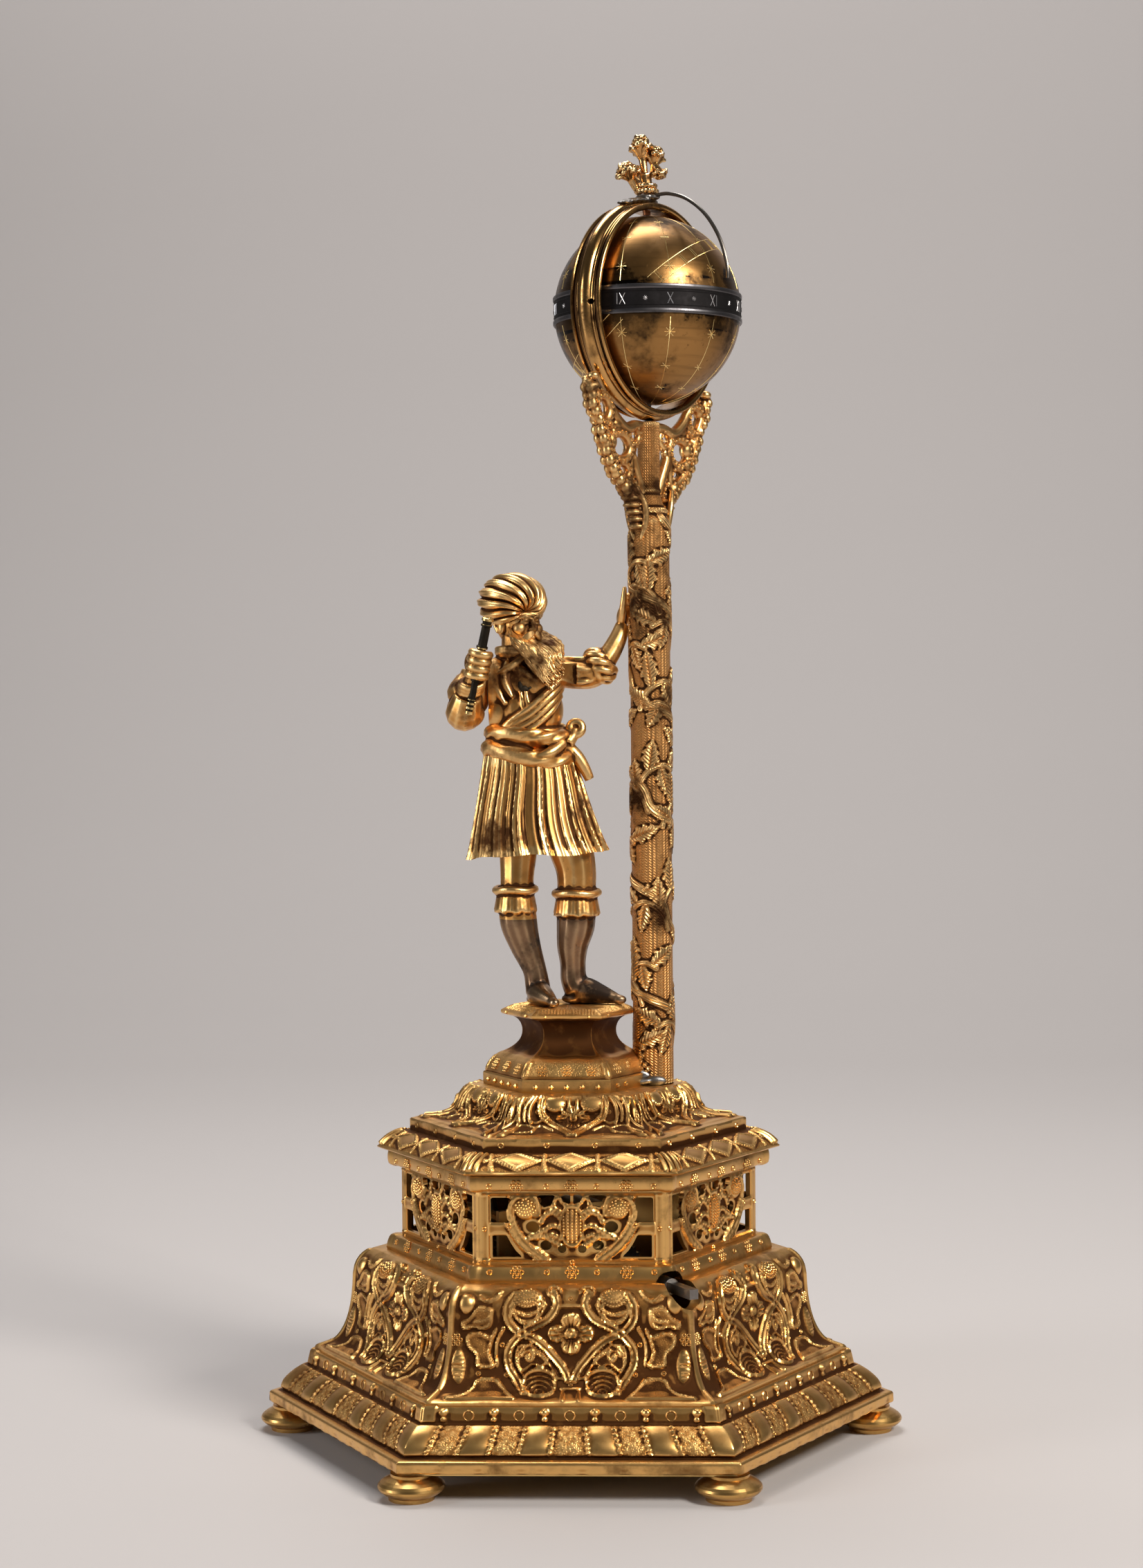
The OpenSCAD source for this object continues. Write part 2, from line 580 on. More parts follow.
// Movement frame: first axis along the winding arbor, second across it
module in_frame() {
    rotate([0, 0, winding_azimuth]) children();
}
module arbor_at(u, spot) {
    translate([u, spot[0], spot[1]]) rotate([0, 90, 0]) children();
}
plate_out = frame_depth / 2;
plate_in = plate_out - frame_t;
mod_great = 0.55;
mod_train = 0.5;
mod_motion = 0.8;
great_n = 60;
second_pinion_n = 10;
second_n = 48;
third_pinion_n = 8;
third_n = 45;
crown_pinion_n = 9;
crown_n = 15;
barrel_pinion_n = 30;
motion_n = 30;
motion_pinion_n = 6;
contrate_n = 24;
great_pitch = (great_n + second_pinion_n) * mod_great / 2;
second_pitch = (second_n + third_pinion_n) * mod_train / 2;
third_pitch = (third_n + crown_pinion_n) * mod_train / 2;
motion_pitch = (barrel_pinion_n + motion_n) * mod_motion / 2;
function stepped(from, bearing, far) = from + far * [cos(bearing), sin(bearing)];
function toward(from, to) = atan2(to[0] - from[0], from[1] - to[1]);
barrel_at = [0, z_winding];
second_bearing = 213.8;
third_bearing = 286.6;
crown_bearing = 168;
second_at = stepped(barrel_at, second_bearing, great_pitch);
third_at = stepped(second_at, third_bearing, second_pitch);
crown_at = stepped(third_at, crown_bearing, third_pitch);
globe_u = column_x * cos(winding_azimuth);
globe_w = -column_x * sin(winding_azimuth);
motion_at = [globe_w, z_winding - sqrt(pow(motion_pitch, 2) - pow(globe_w, 2))];
hammer_at = [-22, z_winding + 10.7];

tooth_share = 0.34;
tip_rise = 0.6;
root_drop = 1;
// Outline of a wheel whose first tooth lies at the given phase
function tooth_points(n, m, phase) = [for (i = [0:n - 1], k = [0:3])
    let (pitch_r = n * m / 2, a = phase + 360 * i / n, step = 360 / n,
        r = (k == 0 || k == 3) ? pitch_r - root_drop * m : pitch_r + tip_rise * m,
        off = [-tooth_share * 0.75, -tooth_share * 0.3, tooth_share * 0.3, tooth_share * 0.75][k] * step)
    [r * cos(a + off), r * sin(a + off)]];
module spoked(n, m, phase, t, spokes, hub_r, bore_r) {
    rim = n * m / 2 - root_drop * m - 1.5;
    linear_extrude(t) difference() {
        polygon(tooth_points(n, m, phase));
        difference() {
            circle(r = rim);
            circle(r = hub_r);
            for (i = [0:spokes - 1]) rotate([0, 0, 360 * i / spokes]) translate([0, -0.6]) square([rim + 0.5, 1.2]);
        }
        circle(r = bore_r);
    }
}
module leaves(n, m, phase, t, bore_r) {
    linear_extrude(t) difference() {
        polygon(tooth_points(n, m, phase));
        circle(r = bore_r);
    }
}

frame_low = z_flange;
frame_top = z_winding + 17;
frame_left = -33;
frame_right = 31;
pillar_r = 1.8;
pillar_spots = [[frame_left + 3.5, frame_low + 4.5], [frame_right - 3.5, frame_low + 4.5],
    [frame_left + 3.5, frame_top - 3], [frame_right - 3.5, frame_top - 3]];
module plate(u) {
    translate([u, frame_left, frame_low]) cube([frame_t, frame_right - frame_left, frame_top - frame_low]);
}
module pivot_hole(spot, r) {
    arbor_at(-plate_out - 1, spot) cylinder(r = r + run_gap, h = frame_depth + 2);
}
module plate_holes() {
    for (spot = pillar_spots) pivot_hole(spot, pillar_r * 0.6);
    pivot_hole(barrel_at, winding_r);
    for (spot = [second_at, third_at, hammer_at]) pivot_hole(spot, pivot_end_r);
}
pivot_end_r = arbor_r * 0.6;
module front_plate() {
    color(brass) in_frame() difference() {
        plate(plate_in);
        plate_holes();
        arbor_at(plate_in - 1, click_at) cylinder(r = click_pin_r + fit_gap, h = frame_t + 2);
    }
}
module back_plate() {
    color(brass) in_frame() difference() {
        plate(-plate_out);
        plate_holes();
        for (spot = [crown_at, motion_at]) pivot_hole(spot, pivot_end_r);
    }
}
module frame_pillars() {
    color(brass) in_frame() for (spot = pillar_spots) {
        arbor_at(-plate_in, spot) rotate_extrude() polygon([[0, 0], [pillar_r, 0], [pillar_r, 1],
            [pillar_r * 0.75, 2], [pillar_r * 0.75, plate_in - 1.5], [pillar_r, plate_in], [pillar_r * 0.75, plate_in + 1.5],
            [pillar_r * 0.75, plate_in * 2 - 2], [pillar_r, plate_in * 2 - 1], [pillar_r, plate_in * 2], [0, plate_in * 2]]);
        arbor_at(-plate_out - 0.8, spot) cylinder(r = pillar_r * 0.6, h = frame_depth + 1.6);
    }
}

// Bar between the plates that carries the inner ends of two short arbors
bar_u = 0;
bar_t = 1.5;
bar_low = frame_low + 1;
bar_post_r = 1.4;
bar_posts = [[frame_left + 1.8, crown_at[1] + 3], [frame_right - 2.6, motion_at[1] - 9]];
module middle_bar() {
    color(brass) in_frame() difference() {
        union() {
            difference() {
                translate([bar_u, frame_left, bar_low]) cube([bar_t, frame_right - frame_left, motion_at[1] + 3 - bar_low]);
                arbor_at(bar_u - 1, barrel_at) cylinder(r = barrel_r + 1.2, h = bar_t + 2);
            }
            for (spot = bar_posts) arbor_at(bar_u + bar_t, spot) cylinder(r = bar_post_r, h = plate_in - bar_u - bar_t);
        }
        for (spot = [crown_at, motion_at]) arbor_at(bar_u - 1, spot) cylinder(r = arbor_r + run_gap, h = bar_t + 2);
        for (spot = [second_at, third_at]) arbor_at(bar_u - 1, spot) cylinder(r = arbor_r + 0.6, h = bar_t + 2);
        for (spot = [pillar_spots[0], pillar_spots[1]]) arbor_at(bar_u - 1, spot) cylinder(r = pillar_r + 0.3, h = bar_t + 2);
    }
}
step_reach = plate_in - globe_u;
module foot_step() {
    color(brass) in_frame() difference() {
        union() {
            translate([globe_u - 3, globe_w - 2.4, z_step_foot - 3]) cube([step_reach + 3, 4.8, 3]);
            translate([globe_u, globe_w, z_step_foot]) cylinder(r = 2.4, h = 3);
        }
        translate([globe_u, globe_w, z_step_foot]) cylinder(r = globe_hole_r, h = 4);
    }
}

// Stations along the arbors
great_u = -16.4;
great_t = 1.2;
barrel_pinion_u = -14.8;
motion_u = -14.6;
second_wheel_u = -11.6;
third_wheel_u = -6;
barrel_u = -8.9;
wheel_t = 1.2;
pinion_t = 1.8;
end_gap = 0.15;
barrel_bore_r = winding_r + run_gap;
barrel_wall = 1;
module spring_barrel() {
    color(brass) in_frame() arbor_at(barrel_u, barrel_at) difference() {
        union() {
            cylinder(r = barrel_r, h = barrel_l);
            translate([0, 0, great_u - barrel_u]) cylinder(r = winding_r + 1, h = barrel_u - great_u);
        }
        translate([0, 0, great_u - barrel_u - 1]) cylinder(r = barrel_bore_r, h = barrel_l + barrel_u - great_u + 2);
        translate([0, 0, barrel_wall]) cylinder(r = barrel_r - barrel_wall, h = barrel_l - barrel_wall * 2);
    }
}
strike_pins = 3;
strike_pin_circle = great_n * mod_great / 2 - root_drop * mod_great - 0.75;
strike_pin_r = 0.5;
module great_wheel() {
    color(brass) in_frame() arbor_at(great_u, barrel_at) {
        spoked(great_n, mod_great, toward(barrel_at, second_at), great_t, 5, 5, winding_r + 1);
        for (i = [0:strike_pins - 1]) rotate([0, 0, 360 * i / strike_pins])
            translate([strike_pin_circle, 0, -1.3]) cylinder(r = strike_pin_r, h = 1.4);
    }
}
module barrel_pinion() {
    color(brass) in_frame() arbor_at(barrel_pinion_u, barrel_at)
        leaves(barrel_pinion_n, mod_motion, toward(barrel_at, motion_at), pinion_t, winding_r + 1);
}
spring_turns = 7;
spring_t = 0.35;
spring_in_r = winding_r + 0.9;
spring_out_r = barrel_r - barrel_wall - 0.45;
function spring_point(k, side) = let (a = k * 30, share = k / (spring_turns * 12),
    r = spring_in_r + (spring_out_r - spring_in_r) * share + side * spring_t / 2) [r * cos(a), r * sin(a)];
module mainspring() {
    last = spring_turns * 12;
    color(blued) in_frame() arbor_at(barrel_u + barrel_wall + 0.3, barrel_at)
        linear_extrude(barrel_l - barrel_wall * 2 - 0.6) polygon(concat(
            [for (k = [0:last]) spring_point(k, 1)], [for (k = [last:-1:0]) spring_point(k, -1)]));
}

// The square ends just outside the corner of the cove
square_end_u = cove_top_r + 6;
square_l = 11;
module winding_arbor() {
    color(steel) in_frame() {
        arbor_at(-plate_out, barrel_at) cylinder(r = winding_r, h = square_end_u - square_l + plate_out);
        translate([square_end_u - square_l, -square_w / 2, barrel_at[1] - square_w / 2])
            cube([square_l, square_w, square_w]);
    }
}
ratchet_n = 24;
ratchet_r = 7;
ratchet_t = 1.4;
ratchet_u = plate_out + 0.4;
function ratchet_points() = [for (i = [0:ratchet_n - 1], k = [0:1])
    let (r = k == 0 ? ratchet_r : ratchet_r - 0.8, a = 360 * (i + (k == 0 ? 0 : 0.12)) / ratchet_n) [r * cos(a), r * sin(a)]];
module ratchet_wheel() {
    color(steel) in_frame() arbor_at(ratchet_u, barrel_at) linear_extrude(ratchet_t) difference() {
        polygon(ratchet_points());
        circle(r = winding_r);
    }
}
click_at = [barrel_at[0] + 12.5, barrel_at[1] - 4.4];
click_pin_r = 0.8;
click_tip = [barrel_at[0] + 5.4, barrel_at[1] - 5.2];
module click() {
    color(steel) in_frame() {
        arbor_at(plate_out + 0.3, [0, 0]) linear_extrude(1.6) polygon([[-click_at[1] - 2, click_at[0] + 0.4],
            [-click_at[1] + 1.6, click_at[0] + 2], [-click_tip[1] + 1.2, click_tip[0] + 0.2],
            [-click_tip[1] + 0.1, click_tip[0]]]);
        arbor_at(plate_in + 0.1, click_at) cylinder(r = click_pin_r, h = frame_t + 2);
    }
}

module train_arbor(spot, from_u, to_u) {
    arbor_at(from_u, spot) {
        cylinder(r = pivot_end_r, h = to_u - from_u);
        translate([0, 0, frame_t + end_gap]) cylinder(r = arbor_r, h = to_u - from_u - (frame_t + end_gap) * 2);
    }
}
module second_arbor() {
    color(steel) in_frame() {
        train_arbor(second_at, -plate_out, plate_out);
        arbor_at(great_u - 0.2, second_at) leaves(second_pinion_n, mod_great,
            toward(second_at, barrel_at) + 180 / second_pinion_n, pinion_t, arbor_r * 0.9);
    }
}
module second_wheel() {
    color(brass) in_frame() arbor_at(second_wheel_u, second_at)
        spoked(second_n, mod_train, toward(second_at, third_at), wheel_t, 4, 2.6, arbor_r);
}
module third_arbor() {
    color(steel) in_frame() {
        train_arbor(third_at, -plate_out, plate_out);
        arbor_at(second_wheel_u - 0.3, third_at) leaves(third_pinion_n, mod_train,
            toward(third_at, second_at) + 180 / third_pinion_n, pinion_t, arbor_r * 0.9);
    }
}
module third_wheel() {
    color(brass) in_frame() arbor_at(third_wheel_u, third_at)
        spoked(third_n, mod_train, toward(third_at, crown_at), wheel_t, 4, 2.6, arbor_r);
}
crown_u = 3;
crown_r = 4.6;
crown_rim_t = 0.9;
crown_tooth = 1.5;
crown_wall = 0.7;
module crown_arbor() {
    color(steel) in_frame() {
        arbor_at(-plate_out, crown_at) {
            cylinder(r = pivot_end_r, h = frame_t + 1);
            translate([0, 0, frame_t + end_gap]) cylinder(r = arbor_r, h = plate_out + crown_u + 1 - frame_t);
        }
        arbor_at(third_wheel_u - 0.3, crown_at) leaves(crown_pinion_n, mod_train,
            toward(crown_at, third_at) + 180 / crown_pinion_n, pinion_t, arbor_r * 0.9);
    }
}
module crown_wheel() {
    color(brass) in_frame() arbor_at(crown_u, crown_at) difference() {
        cylinder(r = crown_r, h = crown_rim_t + crown_tooth + 0.6);
        translate([0, 0, crown_rim_t]) cylinder(r = crown_r - crown_wall, h = 4);
        translate([0, 0, -1]) cylinder(r = arbor_r, h = 4);
        for (i = [0:crown_n - 1]) rotate([0, 0, 360 * i / crown_n])
            translate([crown_r - crown_wall - 0.5, 0, crown_rim_t + 0.6])
            rotate([90, 0, 90]) linear_extrude(crown_wall + 1) polygon([[-0.72, crown_tooth + 0.1], [0.62, crown_tooth + 0.1], [0.3, 0]]);
    }
}
verge_u = crown_u + crown_rim_t + crown_tooth + 0.6 + 2.1;
verge_r = 0.6;
verge_low = crown_at[1] - crown_r - 4;
verge_top = crown_at[1] + crown_r + 11.6;
pallet_l = 2;
pallet_spread = 50;
balance_r = 8.6;
balance_z = crown_at[1] + crown_r + 8.4;
module verge() {
    color(steel) in_frame() translate([verge_u, crown_at[0], 0]) {
        translate([0, 0, verge_low]) cylinder(r = verge_r, h = verge_top - verge_low);
        for (side = [-1, 1]) translate([0, 0, crown_at[1] + side * (crown_r - crown_wall / 2)])
            rotate([0, 0, 180 + side * pallet_spread]) translate([0, -0.2, -0.6]) cube([pallet_l, 0.4, 1.2]);
    }
}
module balance_wheel() {
    color(brass) in_frame() translate([verge_u, crown_at[0], balance_z]) linear_extrude(1.2) difference() {
        circle(r = balance_r);
        difference() {
            circle(r = balance_r - 1.2);
            circle(r = 1.8);
            square([balance_r * 2, 1.4], center = true);
        }
        circle(r = verge_r);
    }
}
module one_cock(z) {
    difference() {
        translate([verge_u - 1.6, crown_at[0] - 1.6, z]) cube([plate_in - verge_u + 1.6, 3.2, 1.4]);
        translate([verge_u, crown_at[0], z - 1]) cylinder(r = verge_r + run_gap, h = 4);
    }
}
module verge_cocks() {
    color(brass) in_frame() {
        one_cock(verge_low + 0.3);
        one_cock(verge_top - 1.6);
    }
}

module motion_arbor() {
    color(steel) in_frame() {
        arbor_at(-plate_out, motion_at) {
            cylinder(r = pivot_end_r, h = frame_t + 1);
            translate([0, 0, frame_t + end_gap]) cylinder(r = arbor_r, h = plate_out - frame_t + contrate_u + 0.9);
        }
        arbor_at(contrate_u - pinion_t / 2, motion_at) leaves(motion_pinion_n, mod_train, 180, pinion_t, arbor_r * 0.9);
    }
}
module motion_wheel() {
    color(brass) in_frame() arbor_at(motion_u, motion_at) spoked(motion_n, mod_motion,
        toward(motion_at, barrel_at) + 180 / motion_n, wheel_t, 5, 3, arbor_r);
}
contrate_r = contrate_n * mod_train / 2;
contrate_u = globe_u - contrate_r;
contrate_tip_z = motion_at[1] + motion_pinion_n * mod_train / 2 - 0.25;
contrate_tooth = 1.3;
module contrate_wheel() {
    color(brass) in_frame() translate([globe_u, globe_w, contrate_tip_z]) {
        translate([0, 0, contrate_tooth]) difference() {
            cylinder(r = contrate_r + 0.8, h = 1);
            translate([0, 0, -1]) cylinder(r = arbor_r, h = 3);
        }
        for (i = [0:contrate_n - 1]) rotate([0, 0, 180 + 360 * (i + 0.5) / contrate_n])
            translate([contrate_r - 0.6, -0.24, 0]) cube([1.2, 0.48, contrate_tooth + 0.2]);
    }
}

bell_x = -8;
bell_stud_r = 1.2;
bell_low = z_top_fascia - 1;
bell_t = 1;
bell_top = bell_low + 13;
function bell_side(grow) = [for (a = [0:15:90])
    [bell_r - 3 + grow - (bell_r - 8) * (1 - cos(a)), bell_low + 3 + (bell_top - bell_low - 4 + grow) * sin(a)]];
module bell() {
    color("khaki") translate([bell_x, 0, 0]) rotate_extrude() polygon(concat(
        [[bell_r - bell_t, bell_low], [bell_r, bell_low]], bell_side(0),
        [[bell_stud_r + fit_gap, bell_top - 1], [bell_stud_r + fit_gap, bell_top - 1 - bell_t]],
        [for (i = [6:-1:0]) bell_side(-bell_t)[i]]));
}
module bell_stud() {
    color(steel) translate([bell_x, 0, 0]) {
        translate([0, 0, bell_top - 4]) cylinder(r = bell_stud_r, h = z_lid + 7 - bell_top + 4);
        translate([0, 0, bell_top - 1 - bell_t - 2.04]) difference() {
            cylinder(r = 2.6, h = 2, $fn = hex);
            translate([0, 0, 1.4]) cylinder(r = bell_stud_r, h = 1);
        }
        translate([0, 0, bell_top - 0.96]) cylinder(r = 2.2, h = z_lid - shell_t - bell_top + 0.9);
    }
}

hammer_u = bell_x * cos(winding_azimuth);
hammer_head = [bell_x * cos(30) - bell_r + bell_t + 6, bell_low + 3.2];
tail_u = great_u - 1.5;
tail_l = norm(hammer_at - barrel_at) - strike_pin_circle - strike_pin_r - 0.3;
module hammer() {
    color(steel) in_frame() {
        train_arbor(hammer_at, -plate_out, plate_out);
        rise = hammer_head - hammer_at;
        translate([hammer_u - 0.8, 0, 0]) rotate([90, 0, 90]) linear_extrude(1.6)
            polygon(band_outline([hammer_at, hammer_at + rise * 0.5 + [-0.6, 0], hammer_head], 0.6));
        translate([hammer_u, hammer_head[0] - 1.7, hammer_head[1]]) rotate([-90, 0, 0]) cylinder(r = 1.7, h = 3.4);
        arbor_at(hammer_u - 2, hammer_at) cylinder(r = 1.8, h = 4);
        arbor_at(tail_u, hammer_at) rotate([0, 0, toward(hammer_at, barrel_at)]) translate([0, -0.6, 0])
            cube([tail_l, 1.2, 0.9]);
    }
}

// Stacked closed rings joined by a skin, with pleats or lobes round each ring
function loft_ring(c, z, rx, ry, n, lobes, amp, twist) = [for (i = [0:n - 1])
    let (a = 360 * i / n, k = 1 + amp * cos(lobes * a + twist)) [c[0] + rx * k * cos(a), c[1] + ry * k * sin(a), z]];
module loft(rings) {
    n = len(rings[0]);
    m = len(rings);
    pts = [for (r = rings) each r];
    sides = [for (j = [0:m - 2], i = [0:n - 1], t = [0, 1])
        t == 0 ? [j * n + i, (j + 1) * n + i, j * n + (i + 1) % n]
            : [(j + 1) * n + i, (j + 1) * n + (i + 1) % n, j * n + (i + 1) % n]];
    bottom = [for (i = [1:n - 2]) [0, i, i + 1]];
    top = [for (i = [1:n - 2]) [(m - 1) * n, (m - 1) * n + i + 1, (m - 1) * n + i]];
    polyhedron(points = pts, faces = concat(sides, bottom, top));
}
module bone(a, ra, b, rb) {
    hull() {
        translate(a) sphere(r = ra, $fn = hull_fn);
        translate(b) sphere(r = rb, $fn = hull_fn);
    }
}

// Places in the figure are given from the standing plate up
fig_x = -10;
hem_c = [fig_x + 0.2, 0];
waist_c = [fig_x - 2, 0];
chest_c = [fig_x - 1.9, 0];
leg_top_z = hem_z + 11.4;
leg_dowel_r = 1.5;
leg_dowel_h = 4;
leg_tops = [[fig_x - 4, 0], [fig_x + 6.6, 0]];
leg_top_r = [4.2, 4.8];
peg_r = 1;
peg_depth = 2.5;
leg_pegs = [[fig_x + 1, -1.5], [fig_x + 9.2, 1]];
module boot_cuff(c, z, r) {
    translate([c[0], c[1], z]) rotate_extrude($fn = 24) polygon([[0, -6.4], [r, -6.4], [r * 0.93, -3], [r * 0.86, -1],
        [r * 0.99, -0.5], [r * 0.99, 0.6], [r * 0.84, 1], [0, 1]]);
}
module figure_legs() {
    left_knee = [fig_x - 3.3, -1];
    left_ankle = [fig_x + 1, -1];
    right_knee = [fig_x + 10.4, -0.5];
    right_ankle = [fig_x + 9.2, 1];
    cuff_z = 26;
    color(gilt) translate([0, 0, z_stand]) {
        difference() {
            union() {
                bone([leg_tops[0][0], 0, leg_top_z - leg_top_r[0]], leg_top_r[0], [left_knee[0], left_knee[1], cuff_z + 3], 3.9);
                bone([left_knee[0] + 0.4, left_knee[1], cuff_z - 4], 4.7, [left_ankle[0], left_ankle[1], 7], 2.9);
                bone([left_ankle[0], left_ankle[1], 7], 2.9, [left_ankle[0] + 0.3, left_ankle[1] - 0.5, 2.2], 3.2);
                bone([left_ankle[0] + 0.3, left_ankle[1] - 0.5, 2.2], 3, [left_ankle[0] + 3.8, left_ankle[1] - 9.5, 1.2], 2.2);
                bone([leg_tops[1][0], 0, leg_top_z - leg_top_r[1]], leg_top_r[1], [right_knee[0], right_knee[1], cuff_z + 2], 4.5);
                bone([right_knee[0], right_knee[1], cuff_z - 5], 4.6, [right_ankle[0], right_ankle[1], 8], 2.9);
                bone([right_ankle[0], right_ankle[1], 8], 2.9, [right_ankle[0], right_ankle[1], 2.2], 3);
                bone([right_ankle[0], right_ankle[1], 2.4], 3, [right_ankle[0] + 11, right_ankle[1] - 3.5, 1.4], 2.1);
                boot_cuff(left_knee, cuff_z + 1, 5.4);
                boot_cuff(right_knee, cuff_z, 5.8);
            }
            translate([0, 0, -10]) cube([80, 80, 20], center = true);
        }
        for (spot = leg_pegs) translate([spot[0], spot[1], -peg_depth + 0.1]) cylinder(r = peg_r, h = peg_depth + 1);
        for (spot = leg_tops) translate([spot[0], spot[1], leg_top_z - 2]) cylinder(r = leg_dowel_r, h = leg_dowel_h);
    }
}
skirt_pleats = 24;
skirt_points = 96;
skirt_wall = 1.4;
skirt_depth_share = 0.72;
module figure_skirt() {
    span = waist_z - 2 - hem_z;
    function skirt_ring(t, shrink, amp) = loft_ring(hem_c * (1 - t) + waist_c * t, hem_z + span * t,
        hem_rx + (12.2 - hem_rx) * t - shrink, (hem_rx + (12.4 - hem_rx) * t) * skirt_depth_share - shrink,
        skirt_points, skirt_pleats, amp, 0);
    color(gilt) translate([0, 0, z_stand]) difference() {
        loft([skirt_ring((leg_top_z + 0.02 - hem_z) / span, skirt_wall + 1, 0), skirt_ring(0, skirt_wall, 0),
            skirt_ring(0, 0, 0.035), skirt_ring(0.5, 0.5, 0.035), skirt_ring(1, 0, 0.02)]);
        for (spot = leg_tops) translate([spot[0], spot[1], leg_top_z - 2])
            cylinder(r = leg_dowel_r + fit_gap, h = leg_dowel_h + 0.3);
    }
}
module torso_form() {
    n = 28;
    loft([loft_ring(waist_c, waist_z - 1.95, 9.6, 7, n, 2, 0, 0), loft_ring(waist_c, waist_z + 4, 9.2, 6.6, n, 2, 0, 0),
        loft_ring(chest_c, waist_z + 12, 9.4, 6.9, n, 2, 0, 0), loft_ring(chest_c, shoulder_z - 5, 9.9, 6.6, n, 2, 0, 0),
        loft_ring(chest_c, shoulder_z - 1, 9.6, 5.4, n, 2, 0, 0), loft_ring(chest_c, shoulder_z + 1.5, 5.4, 4, n, 2, 0, 0)]);
}
module figure_torso() {
    color(gilt) translate([0, 0, z_stand]) difference() {
        torso_form();
        translate([neck_at[0], neck_at[1], shoulder_z - 6]) cylinder(r = neck_pin_r + run_gap, h = 10);
        arm_bore();
    }
}
sash_z = waist_z + 1;
module figure_sash() {
    hip = [fig_x + 10.6, -1];
    color(gilt) translate([0, 0, z_stand]) {
        difference() {
            loft([loft_ring(waist_c, sash_z - 2.9, 12.2, 8.8, 28, 2, 0, 0), loft_ring(waist_c, sash_z - 1, 12.7, 9.3, 28, 2, 0, 0),
                loft_ring(waist_c, sash_z + 2, 11.8, 8.6, 28, 2, 0, 0), loft_ring(waist_c, sash_z + 3.6, 10.2, 7.5, 28, 2, 0, 0)]);
            translate([waist_c[0], waist_c[1], 0]) loft([loft_ring([0, 0], sash_z - 4, 9.7, 7.1, 28, 2, 0, 0),
                loft_ring([0, 0], sash_z + 5, 9.7, 7.1, 28, 2, 0, 0)]);
        }
        translate([hip[0] - 0.3, hip[1], sash_z + 4.6]) sphere(r = 2.7);
        bone([hip[0] + 1.2, hip[1], sash_z - 1], 1.8, [hip[0] + 3.4, hip[1], sash_z - 10.6], 1.3);
        bone([hip[0] - 0.6, hip[1], sash_z + 3], 1.8, [hip[0] + 0.8, hip[1], sash_z], 2);
    }
}
// The left arm reaches out to the trunk and its hand holds it
module figure_left_arm() {
    shoulder = [chest_c[0] + 9.2, -0.5, shoulder_z - 3.6];
    elbow = [fig_x + 17.6, -1.5, shoulder_z - 8.5];
    wrist = [column_x - column_r - 2.9, 2.6, shoulder_z + 3];
    palm = [column_x - column_r - 2.2, 3.4, shoulder_z + 9];
    tips = [column_x - column_r + 1.5, column_r + 1.6, shoulder_z + 12];
    color(gilt) translate([0, 0, z_stand]) difference() {
        union() {
            bone(shoulder, 3.6, elbow, 4.1);
            bone(elbow, 3.9, [elbow[0] + 2, elbow[1] + 0.6, elbow[2] + 4.5], 4);
            bone([elbow[0] + 1.4, elbow[1] + 0.6, elbow[2] + 3], 3.2, wrist, 2.2);
            bone(wrist, 2.2, palm, 2);
            bone(palm, 1.9, tips, 1.3);
        }
        translate([column_x, 0, 0]) cylinder(r = column_r + 0.3, h = shoulder_z + 30);
        torso_form();
    }
}
// The right arm turns on a pin through the shoulder
arm_at = [chest_c[0] - 10.6, -0.6, shoulder_z - 5.5];
arm_pin_r = 1;
module arm_bore() {
    translate([arm_at[0] - 4, arm_at[1], arm_at[2]]) rotate([0, 90, 0]) cylinder(r = arm_pin_r + run_gap, h = 12);
}
baton_low = [fig_x - 16.8, -10.3, shoulder_z - 15];
baton_top = [fig_x - 11.3, -13.4, shoulder_z + 10];
baton_line = baton_top - baton_low;
baton_l = norm(baton_line);
baton_tilt = acos(baton_line[2] / baton_l);
baton_turn = atan2(baton_line[1], baton_line[0]);
module on_baton() {
    translate(baton_low) rotate([0, baton_tilt, baton_turn]) children();
}
module figure_right_arm() {
    elbow = [fig_x - 17.6, -2.2, shoulder_z - 14.5];
    fist = baton_low + baton_line * 0.52;
    color(gilt) translate([0, 0, z_stand]) {
        difference() {
            union() {
                bone([arm_at[0] - 3.6, arm_at[1], arm_at[2] + 0.6], 3.3, elbow, 4.3);
                bone(elbow, 4.3, [fig_x - 16.6, -7, shoulder_z - 8.5], 3.5);
                bone([fig_x - 16.6, -7, shoulder_z - 8.5], 2.6, fist, 3.1);
            }
            translate([arm_at[0] + 0.2, arm_at[1] - 10, arm_at[2] - 14]) cube([20, 20, 30]);
            on_baton() cylinder(r = baton_r + fit_gap, h = baton_l);
        }
        translate([arm_at[0] - 1, arm_at[1], arm_at[2]]) rotate([0, 90, 0]) cylinder(r = arm_pin_r, h = 7);
    }
}
module baton() {
    color(blued) translate([0, 0, z_stand]) on_baton() rotate_extrude($fn = 32) polygon([[0, 0], [baton_r * 0.8, 0],
        [baton_r * 0.8, 1], [baton_r * 0.66, 1.2], [baton_r * 0.66, 6], [baton_r * 0.9, 6.4], [baton_r * 0.9, 17],
        [baton_r * 1.2, 17.3], [baton_r * 1.2, 18.3], [baton_r * 0.85, 18.7], [baton_r, baton_l - 1.4],
        [baton_r * 1.25, baton_l - 1], [baton_r * 1.25, baton_l], [0, baton_l]]);
}
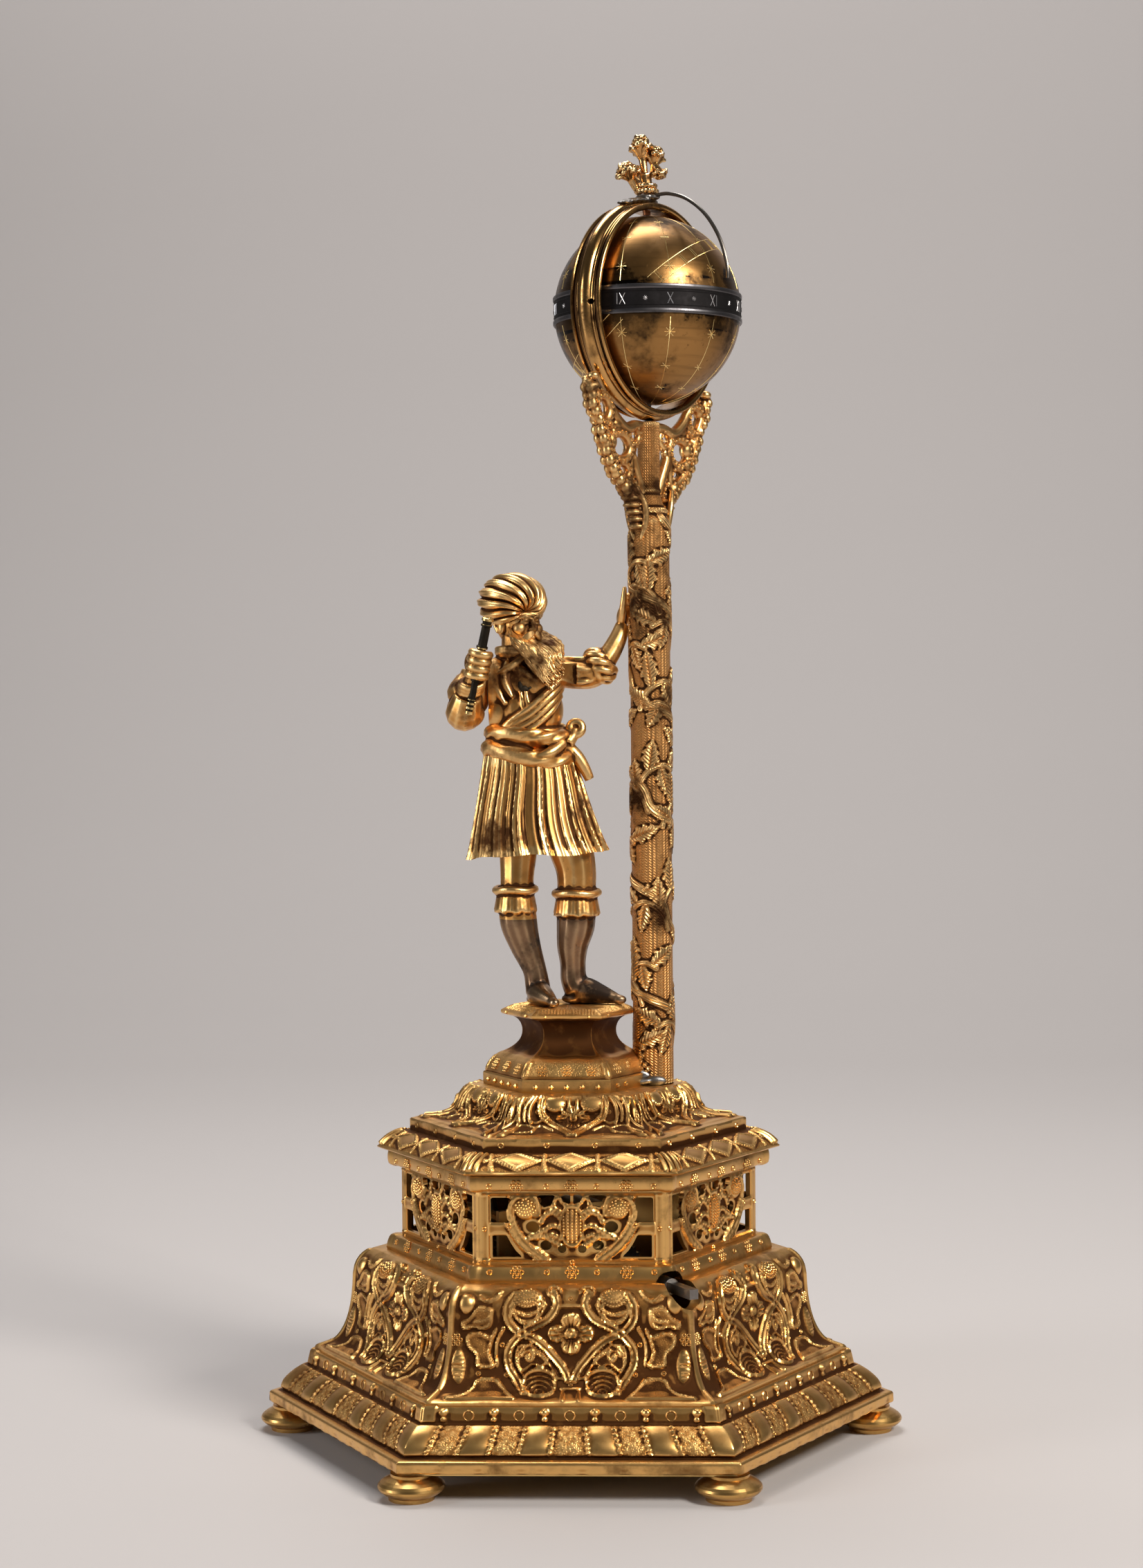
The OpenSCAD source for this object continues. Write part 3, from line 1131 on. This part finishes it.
// The head, with its turban and long beard, turns on a pin in the neck
neck_at = [fig_x - 4.4, -0.5];
neck_pin_r = 1.2;
head_gap = 0.35;
head_turn = 40;
module figure_head() {
    low = shoulder_z + 1.5 + head_gap;
    n = 28;
    color(gilt) translate([neck_at[0], neck_at[1], z_stand]) {
        translate([0, 0, shoulder_z - 5]) cylinder(r = neck_pin_r, h = 12);
        rotate([0, 0, head_turn]) {
            loft([loft_ring([0, 0.3], low, 3.5, 3.6, n, 2, 0, 0), loft_ring([0, 0], low + 2.4, 3.7, 4, n, 2, 0, 0),
                loft_ring([0, -0.8], low + 5, 5.2, 5.9, n, 2, 0, 0), loft_ring([0, -0.8], low + 9, 5.9, 6.6, n, 2, 0, 0)]);
            bone([0, -6.4, low + 5.4], 2.5, [0, -10.1, low - 1], 2.2);
            bone([0, -10.1, low - 1], 2.2, [0.5, -11.2, low - 9], 1.4);
        }
        translate([-1.5, 0, low + 7.6]) loft([loft_ring([0, 0], 0, turban_r * 0.74, turban_r * 0.74, n, 7, 0.02, 0),
            loft_ring([0, 0], 2.6, turban_r * 0.97, turban_r * 0.94, n, 7, 0.03, 20),
            loft_ring([0, 0], 6, turban_r, turban_r * 0.97, n, 7, 0.03, 50),
            loft_ring([0, 0], 9, turban_r * 0.87, turban_r * 0.84, n, 7, 0.03, 80),
            loft_ring([0, 0], 11.3, turban_r * 0.56, turban_r * 0.54, n, 7, 0.02, 110),
            loft_ring([0, 0], 12.4, turban_r * 0.2, turban_r * 0.2, n, 7, 0, 0)]);
    }
}

feet();
bottom_plate();
base_moulding();
cove_shell();
frieze_base_band();
pierced_frieze();
frieze_top_band();
lid();
case_screws();
pedestal();
column();
column_nut();
ring_brackets();
meridian_ring();
top_collar();
pivot_screw();
hour_pointer();
finial();
globe_lower_half();
globe_upper_half();
hour_band();
globe_arbor();
contrate_wheel();
figure_legs();
figure_skirt();
figure_torso();
figure_sash();
figure_left_arm();
figure_right_arm();
baton();
figure_head();
front_plate();
back_plate();
frame_pillars();
middle_bar();
foot_step();
spring_barrel();
great_wheel();
barrel_pinion();
mainspring();
winding_arbor();
ratchet_wheel();
click();
second_arbor();
second_wheel();
third_arbor();
third_wheel();
crown_arbor();
crown_wheel();
verge();
balance_wheel();
verge_cocks();
motion_arbor();
motion_wheel();
bell();
bell_stud();
hammer();
